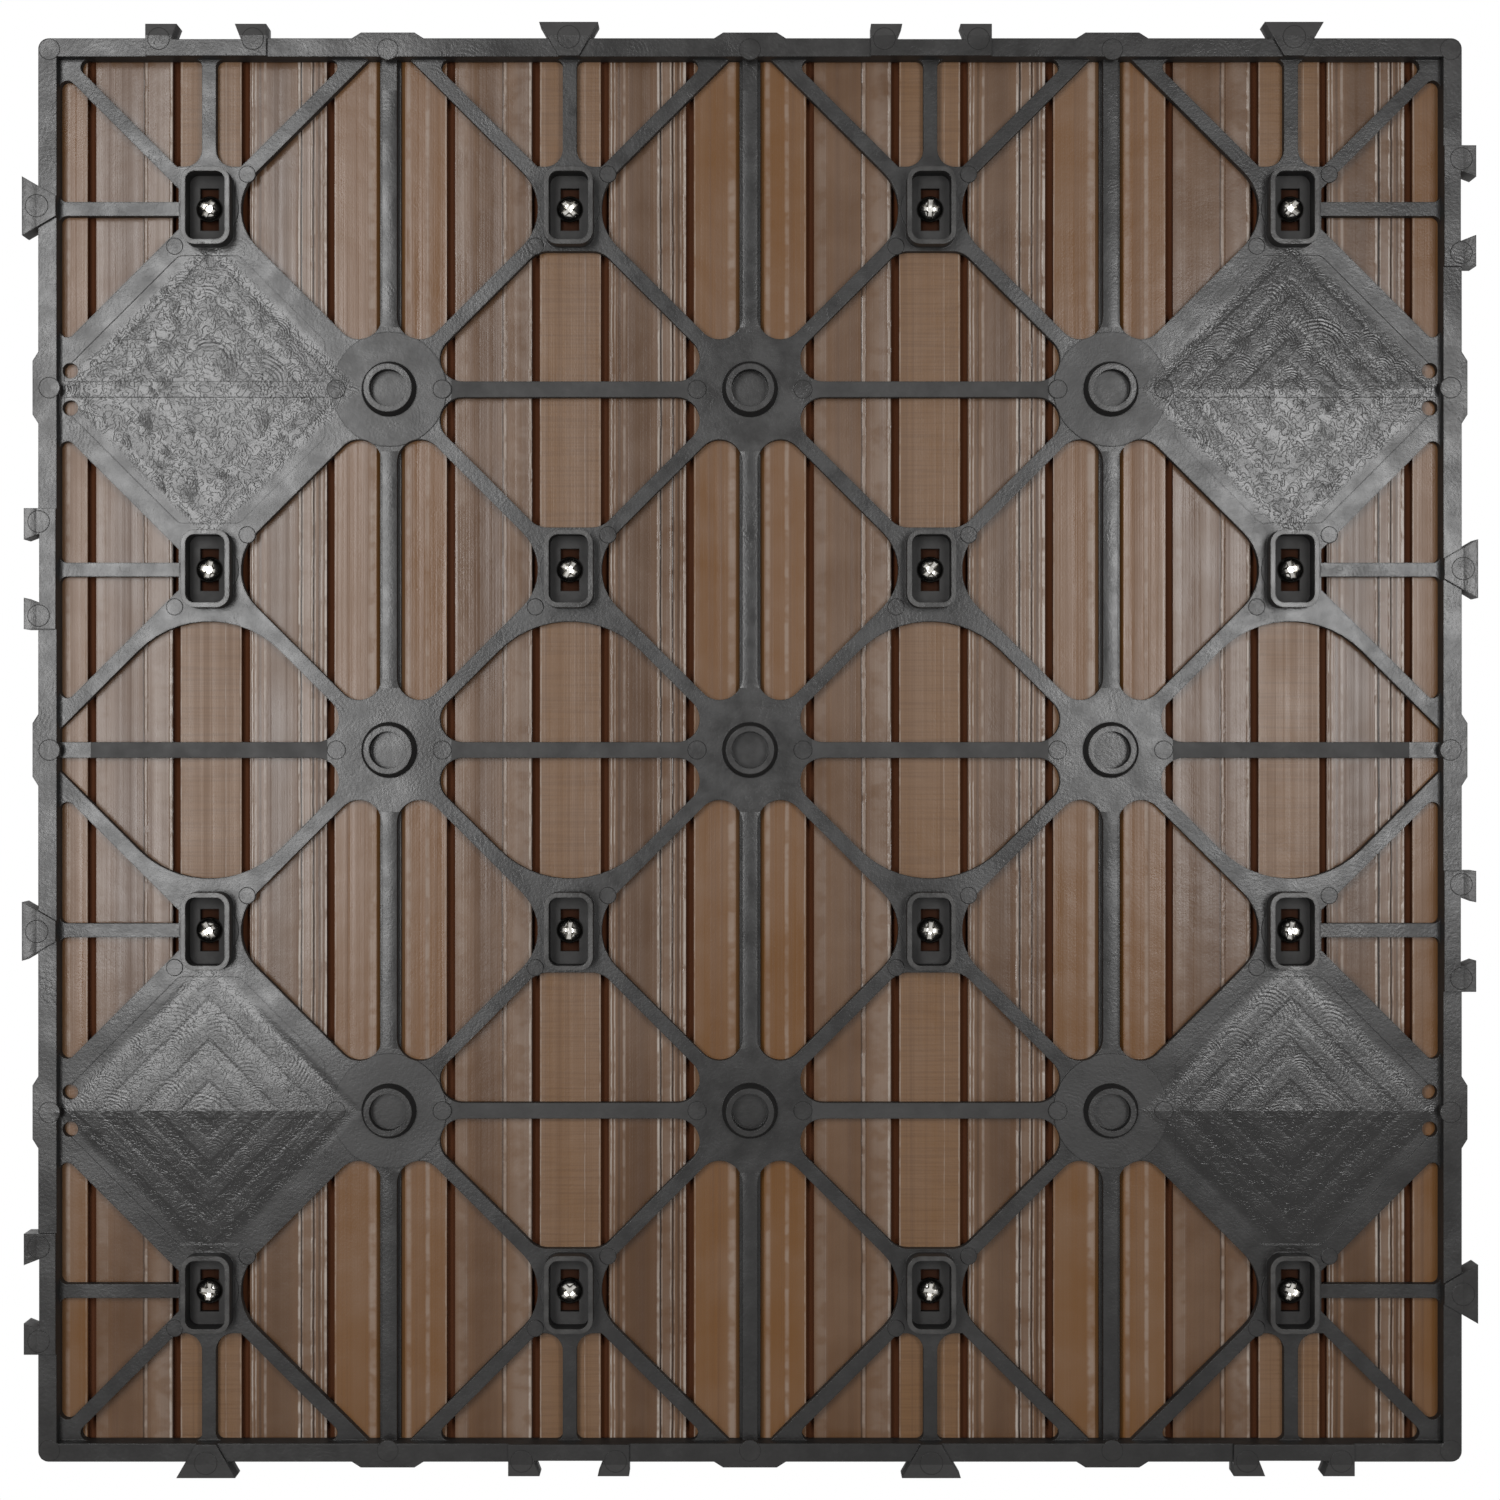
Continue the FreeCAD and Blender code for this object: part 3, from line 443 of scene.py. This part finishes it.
def makeSlatMaterial():
    look = slatLook
    material, start = newMaterial("slatComposite")
    place = start.add("ShaderNodeTexCoord", {}, {}, "Object")
    x = start.add("ShaderNodeSeparateXYZ", {}, {0: place}, "X")
    y = x.also("Y")
    z = x.also("Z")
    module = tile["module"]
    across = x % module - module / 2
    along = y % module - module / 2

    fineStreaks = noise(start, place, 1.0, 2.0, 0.6, look["fineStreaks"])
    streaks = noise(start, place, 1.0, 3.0, 0.7, look["streaks"])
    bands = noise(start, place, 1.0, 2.0, 0.5, look["bands"])
    mottle = noise(start, place, look["mottleScale"], 3.0, 0.6)
    dust = noise(start, place, look["dustScale"], 1.0, 0.65)
    sawMarks = noise(start, place, 1.0, 2.0, 0.5, look["sawMarks"])
    twist = noise(start, place, 1.0, 2.0, 0.5, look["twist"])
    wobble = noise(start, place, 1.0, 2.0, 0.5, look["wobble"])

    # the outer sides and sawn ends look like the deck side
    upright = start.add("ShaderNodeNewGeometry", {}, {}, "True Normal")
    onEnd = partAlong(start, upright, "Y") > 0.5
    sole = tile["deckLevel"]
    underside = (z < sole + look["undersideDepth"]) * (abs(across) < look["halfWidth"]) * (1 - onEnd)
    inGroove = (z > sole + look["grooveFloor"]) * underside
    onSole = z < sole + look["soleDepth"]
    onMiddle = (abs(across) < look["middleRib"]) * onSole
    onSide = abs(across) > look["sideRib"]
    # painted shade on the sole round each screw, where the boss recess shades it
    screwShadeWidth, screwShadeLength = look["screwShade"]
    screwShade = (abs(across) < screwShadeWidth) * spread(abs(along), screwShadeLength, screwShadeLength * 0.8) * underside

    # drawn lines wander a little and fade here and there
    wandering = across + (wobble - 0.5) * look["wander"] + (twist - 0.5) * look["wander"] * 0.5
    broken = spread(twist, 0.38, 0.55, 0.35, 1.0) * spread(mottle, 0.35, 0.55, 0.45, 1.0)
    # painted highlights along the drawn lines, and painted shade beside them and in broad bands over the
    # channels
    pale = drawnLines(wandering, look["highlightLines"]) * broken * underside
    dark = drawnLines(wandering, look["shadeLines"]) * underside

    # base tone of each zone, then grain, painted highlight and shade lines, deck, and the painted shade in
    # the grooves and round the screws over it
    deck = mixColour(start, spread(streaks, 0.45, 0.7), rgba(look["deckColour"]), rgba(look["streakColour"]))
    colour = mixColour(start, onSide, rgba(look["channelColour"]), rgba(look["sideColour"]))
    for amount, over in (
        (onMiddle, look["middleColour"]),
        (spread(bands + mottle * 0.8, 0.75, 1.15) * 0.7, look["paleColour"]),
        (spread(streaks, 0.50, 0.75) * 0.40, look["streakColour"]),
        (spread(fineStreaks, 0.55, 0.75) * 0.20, look["paleColour"]),
        (spread(sawMarks, 0.45, 0.65) * onMiddle * 0.22, look["streakColour"]),
        (dark, look["lineShadeColour"]),
        (pale, look["highlightLineColour"]),
    ):
        colour = mixColour(start, amount, colour, rgba(over))
    colour = mixColour(start, underside, deck, colour)
    # painted shade in the grooves
    colour = mixColour(start, inGroove, colour, rgba(look["grooveShadeColour"]))
    # painted shade round each screw
    colour = mixColour(start, screwShade, colour, rgba(look["screwShadeColour"]))

    relief = streaks * look["drawnDepth"] + bands * look["hollows"] + mottle * look["ripple"]
    relief = relief + drawnLines(wandering, look["ridges"]) * broken * underside * look["lineRise"]
    relief = relief + sawMarks * onMiddle * spread(mottle, 0.40, 0.55) * look["sawDepth"]
    relief = relief + dust * look["grain"]

    spreadHalf = look["roughnessSpread"] / 2
    satin = spread(streaks * 0.7 + mottle * 0.6, 0.45, 0.85, -spreadHalf, spreadHalf)
    # the middle rib is part of the sole, so its own roughness steps from the sole's
    satin = satin + onMiddle * (look["middleRoughness"] - look["soleRoughness"])
    roughness = zonedRoughness(satin, look["channelRoughness"], (
        (onSole, look["soleRoughness"]),
        (inGroove + screwShade, look["grooveRoughness"]),
    ))
    shader = start.add("ShaderNodeBsdfPrincipled", {}, {
        "Base Color": colour,
        "Roughness": roughness,
        "Specular IOR Level": look["gloss"],
        "Normal": bump(start, relief),
    })
    return finishMaterial(material, shader)


# Screws: bright stainless steel, domed heads with a cross recess
screwLook = {
    "colour": (0.58, 0.565, 0.53),
    "dullColour": (0.27, 0.26, 0.245),
    "roughness": 0.14,
    "roughnessSpread": 0.08,
    "brushScale": 2200.0,
    "smearScale": 520.0,
    "brushDepth": 0.012 * mm,
    "segments": 48,
    "domeSteps": 14,
    "sharpAngle": 32,
    "spinSeed": 7,
    "headRadius": 2.8 * mm,
    "headHeight": 1.9 * mm,
    "shankRadius": 1.45 * mm,
    "length": 9.5 * mm,
    "tip": 2.2 * mm,
    "threadStart": 0.4 * mm,
    "threadPitch": 1.1 * mm,
    "threadDepth": 0.30 * mm,
    # half span, half arm width and height over the seat of the cross recess, from its face to its floor
    "recess": (
        (3.20 * mm, 0.58 * mm, -2.10 * mm),
        (2.05 * mm, 0.48 * mm, -1.25 * mm),
        (1.75 * mm, 0.42 * mm, -1.02 * mm),
        (0.70 * mm, 0.30 * mm, -0.72 * mm),
    ),
    "recessCorner": 1.5,         # how far the arms' inner corners are cut back, in arm widths
}


def makeSteelMaterial():
    look = screwLook
    material, start = newMaterial("screwSteel")
    place = start.add("ShaderNodeTexCoord", {}, {}, "Object")
    brushed = noise(start, place, look["brushScale"], 4.0, 0.6)
    smears = noise(start, place, look["smearScale"], 3.0, 0.5)
    colour = mixColour(start, spread(smears, 0.40, 0.72), rgba(look["colour"]), rgba(look["dullColour"]))
    spreadHalf = look["roughnessSpread"] / 2
    roughness = spread(brushed, 0.3, 0.7, look["roughness"] - spreadHalf, look["roughness"] + spreadHalf)
    shader = start.add("ShaderNodeBsdfPrincipled", {}, {
        "Base Color": colour,
        "Metallic": 1.0,
        "Roughness": roughness,
        "Normal": bump(start, brushed + smears * 2, look["brushDepth"]),
    })
    return finishMaterial(material, shader)


def meshObject(name, build):
    mesh = bpy.data.meshes.new(name)
    form = bmesh.new()
    build(form)
    form.to_mesh(mesh)
    form.free()
    piece = bpy.data.objects.new(name, mesh)
    bpy.context.scene.collection.objects.link(piece)
    return piece


def lathe(form, profile, segments, centre=Vector()):
    # closed profile of (radius, height) pairs turned round Z; a radius of 0 is a single point
    rings = []
    for radius, height in profile:
        if radius == 0:
            rings.append([form.verts.new(centre + Vector((0, 0, height)))])
            continue
        ring = []
        for step in range(segments):
            angle = 2 * math.pi * step / segments
            away = Vector((radius * math.cos(angle), radius * math.sin(angle), height))
            ring.append(form.verts.new(centre + away))
        rings.append(ring)
    for lower, upper in zip(rings, rings[1:]):
        for step in range(segments):
            after = (step + 1) % segments
            corners = []
            for vertex in (lower[step % len(lower)], lower[after % len(lower)],
                           upper[after % len(upper)], upper[step % len(upper)]):
                if vertex not in corners:
                    corners.append(vertex)
            if len(corners) > 2:
                form.faces.new(corners)


def makeScrewMesh():
    # one domed head screw, head down, its seat at height 0
    look = screwLook
    head = look["headRadius"]
    shank = look["shankRadius"]
    root = shank - look["threadDepth"]

    def blank(form):
        profile = [(0, -look["headHeight"])]
        for step in range(1, look["domeSteps"] + 1):
            angle = math.pi / 2 * step / look["domeSteps"]
            profile.append((head * math.sin(angle), -look["headHeight"] * math.cos(angle)))
        profile.append((root, 0))
        height = look["threadStart"]
        while height + look["threadPitch"] < look["length"] - look["tip"]:
            profile.append((root, height))
            profile.append((shank, height + look["threadPitch"] / 2))
            height += look["threadPitch"]
        profile.append((root, height))
        profile.append((0, look["length"]))
        lathe(form, profile, look["segments"])
        bmesh.ops.recalc_face_normals(form, faces=form.faces)

    def cutter(form):
        # cross with sloping walls, wider at the face
        rings = []
        for far, wide, height in look["recess"]:
            ring = []
            for quarter in range(4):
                turned = Matrix.Rotation(quarter * math.pi / 2, 3, "Z")
                inner = wide * look["recessCorner"]
                for corner in ((far, -wide, height), (far, wide, height), (inner, inner, height)):
                    ring.append(form.verts.new(turned @ Vector(corner)))
            rings.append(ring)
        for lower, upper in zip(rings, rings[1:]):
            for step in range(len(lower)):
                after = (step + 1) % len(lower)
                form.faces.new((lower[step], lower[after], upper[after], upper[step]))
        form.faces.new(rings[0])
        form.faces.new(rings[-1])
        bmesh.ops.recalc_face_normals(form, faces=form.faces)

    body = meshObject("screwBlank", blank)
    tool = meshObject("screwTool", cutter)
    cut = body.modifiers.new("recess", "BOOLEAN")
    cut.object = tool
    cut.operation = "DIFFERENCE"
    cut.solver = "EXACT"
    view = bpy.context.evaluated_depsgraph_get()
    mesh = bpy.data.meshes.new_from_object(body.evaluated_get(view))
    for spare in (body, tool):
        bpy.data.objects.remove(spare)
    return mesh


def makeScrews(material):
    source = makeScrewMesh()
    dice = random.Random(screwLook["spinSeed"])
    for column, stepX in enumerate(tile["bossSteps"]):
        node = f"slat_{column + 1}_screws"

        def build(form):
            for stepY in tile["bossSteps"]:
                part = source.copy()
                spin = Matrix.Rotation(dice.uniform(0, math.pi / 2), 4, "Z")
                spot = Vector((stepX * tile["module"], stepY * tile["module"], tile["seatLevel"]))
                part.transform(Matrix.Translation(spot) @ spin)
                form.from_mesh(part)
                bpy.data.meshes.remove(part)

        piece = meshObject(f"screws_{column + 1}", build)
        piece.data.materials.append(material)
        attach(piece, "root")
        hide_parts(node)
        for face in piece.data.polygons:
            face.use_smooth = True
        piece.data.set_sharp_from_angle(angle=math.radians(screwLook["sharpAngle"]))
    print("screws: 16 on", len(tile["bossSteps"]), "slats")


# Ejector marks: small round pads with a bevelled rim, left by the moulding tool
ejectorLook = {
    "rise": 0.10 * mm,
    "rimRise": 0.03 * mm,
    "sunk": 0.8 * mm,            # how far the mesh reaches into the moulding
    "ring": 0.15 * mm,
    "segments": 40,
    "atBoss": ((8.0 * mm, -7.3 * mm), (-7.2 * mm, 7.8 * mm)),
    "bossDiameter": 3.6 * mm,
    "fromFoot": 11.1 * mm,
    "footDiameter": 4.0 * mm,
    "frameLine": 146.2 * mm,
    "frameDiameter": 4.5 * mm,
    "tabLine": 148.6 * mm,
    "tabDiameter": 4.85 * mm,
    "hookLine": 148.2 * mm,
    "hookOffset": 9.8 * mm,
    "hookDiameter": 4.7 * mm,
    "tabSteps": (-0.5, 1.5),
    "hookSteps": (-1.5, 0.5),
}


def ejectorPlaces():
    # x, y, level and diameter of every mark
    look = ejectorLook
    module = tile["module"]
    places = []
    for stepX in tile["bossSteps"]:
        for stepY in tile["bossSteps"]:
            for awayX, awayY in look["atBoss"]:
                x = stepX * module + awayX
                y = stepY * module + awayY
                places.append((x, y, tile["webLevel"], look["bossDiameter"]))
    for stepX in tile["footSteps"]:
        for stepY in tile["footSteps"]:
            level = tile["hubLevel"] if stepX != 0 and stepY != 0 else tile["webLevel"]
            for side in (-1, 1):
                x = stepX * module + side * look["fromFoot"]
                places.append((x, stepY * module, level, look["footDiameter"]))
    # one side of the frame and a corner, then the same on the other three
    frameLine = look["frameLine"]
    around = []
    for y in (-module, 0, module, frameLine):
        around.append((frameLine, y, tile["frameLevel"], look["frameDiameter"]))
    for step in look["tabSteps"]:
        around.append((look["tabLine"], step * module, tile["linkLevel"], look["tabDiameter"]))
    for step in look["hookSteps"]:
        for side in (-1, 1):
            y = step * module + side * look["hookOffset"]
            around.append((look["hookLine"], y, tile["linkLevel"], look["hookDiameter"]))
    for turn in range(4):
        spin = Matrix.Rotation(turn * math.pi / 2, 3, "Z")
        for x, y, level, diameter in around:
            spot = spin @ Vector((x, y, 0))
            places.append((spot.x, spot.y, level, diameter))
    return places


def makeEjectorMarks(material):
    look = ejectorLook

    def build(form):
        for x, y, level, diameter in ejectorPlaces():
            radius = diameter / 2
            rise = look["rise"]
            profile = [
                (0, -rise),
                (radius - look["ring"], -rise),
                (radius, -look["rimRise"]),
                (radius, look["sunk"]),
                (0, look["sunk"]),
            ]
            lathe(form, profile, look["segments"], Vector((x, y, level)))
        bmesh.ops.recalc_face_normals(form, faces=form.faces)

    piece = meshObject("ejectorMarks", build)
    piece.data.materials.append(material)
    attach(piece, "root")
    print("ejector marks:", len(ejectorPlaces()))


def dress():
    plastic = makeGridMaterial()
    composite = makeSlatMaterial()
    steel = makeSteelMaterial()
    for name, node in nodes.items():
        finish = plastic if name == "base_grid" else steel if "screws" in name else composite
        node.data.materials.clear()
        node.data.materials.append(finish)
    makeScrews(steel)
    makeEjectorMarks(plastic)


# Floor, light and camera
studio = {
    "floorColour": (0.90, 0.90, 0.89),
    "floorDuller": 0.97,
    "floorRoughness": 0.8,
    "floorReach": 4.0,
    "floorDrop": 0.4 * mm,
    "floorFade": (0.45, 1.30),       # the floor gives way to the white world between these radii
    "ambient": 0.12,
    "sensorWidth": 36.0,
    "cameraDistance": 0.800,
    "widthInView": 0.31198,
    "clip": (0.01, 20.0),
    "lamps": (
        # name, place, width, length, power
        ("leftBelow", (-0.265, -0.105, -0.98), 0.18, 0.46, 5.2),
        ("rightBelow", (0.262, -0.07, -0.98), 0.18, 0.27, 3.1),
        ("keyAbove", (-0.90, -1.10, 1.60), 0.90, 0.90, 24.0),
        ("fillAbove", (1.30, -0.40, 1.30), 1.20, 1.20, 12.0),
    ),
}


def makeFloor():
    def build(form):
        bmesh.ops.create_grid(form, x_segments=1, y_segments=1, size=studio["floorReach"])

    floor = meshObject("floor", build)
    floor.location.z = -studio["floorDrop"]
    material, start = newMaterial("paleFloor")
    place = start.add("ShaderNodeTexCoord", {}, {}, "Object")
    grain = noise(start, place, 3.0, 3.0)
    pale = rgba(studio["floorColour"])
    duller = rgba([part * studio["floorDuller"] for part in studio["floorColour"]])
    colour = mixColour(start, spread(grain, 0.3, 0.7), pale, duller)
    sockets = {"Base Color": colour, "Roughness": studio["floorRoughness"]}
    top = start.add("ShaderNodeBsdfPrincipled", {}, sockets)
    clear = start.add("ShaderNodeBsdfTransparent")
    back = start.add("ShaderNodeNewGeometry", {}, {}, "Backfacing")
    away = vectorMaths(start, "LENGTH", {0: place}, "Value")
    faded = back.maths("MAXIMUM", back, spread(away, *studio["floorFade"], smooth=True))
    finishMaterial(material, start.add("ShaderNodeMixShader", {}, {0: faded, 1: top, 2: clear}))
    floor.data.materials.append(material)
    floor.visible_shadow = False       # lamps below reach the underside
    floor.visible_diffuse = False
    floor.visible_glossy = False


def makeWorld():
    world = bpy.data.worlds.new("studioWorld")
    bpy.context.scene.world = world
    world.use_nodes = True
    world.node_tree.nodes.clear()
    start = Wire(world.node_tree)
    path = start.add("ShaderNodeLightPath", {}, {}, "Is Camera Ray")
    seen = path.maths("MAXIMUM", path, path.also("Is Glossy Ray"))
    seen = seen.maths("MAXIMUM", seen, path.also("Is Transmission Ray"))
    strength = studio["ambient"] + seen * (1 - studio["ambient"])
    white = start.add("ShaderNodeBackground", {}, {"Color": (1, 1, 1, 1), "Strength": strength})
    start.add("ShaderNodeOutputWorld", {}, {"Surface": white})


def makeLamps():
    for name, place, width, length, power in studio["lamps"]:
        data = bpy.data.lights.new(name, "AREA")
        data.shape = "RECTANGLE"
        data.size = width
        data.size_y = length
        data.energy = power
        lamp = bpy.data.objects.new(name, data)
        lamp.location = place
        if place[2] < 0:
            lamp.rotation_euler = (math.pi, 0, 0)       # straight up, its length along Y
        else:
            lamp.rotation_euler = (-Vector(place)).to_track_quat("-Z", "Y").to_euler()
        lamp.visible_camera = False
        bpy.context.scene.collection.objects.link(lamp)


def makeCamera():
    # straight below the tile, looking up, with the photograph's right as +X and its bottom as +Y
    data = bpy.data.cameras.new("camera")
    data.sensor_width = studio["sensorWidth"]
    data.lens = studio["sensorWidth"] * studio["cameraDistance"] / studio["widthInView"]
    camera = bpy.data.objects.new("camera", data)
    camera.location = (0, 0, -studio["cameraDistance"])
    camera.rotation_euler = (math.pi, 0, 0)
    data.clip_start, data.clip_end = studio["clip"]
    bpy.context.scene.collection.objects.link(camera)
    bpy.context.scene.camera = camera


dress()
makeFloor()
makeWorld()
makeLamps()
makeCamera()
bpy.context.scene.view_settings.view_transform = "Standard"
print("stage: floor, world, lamps and camera")
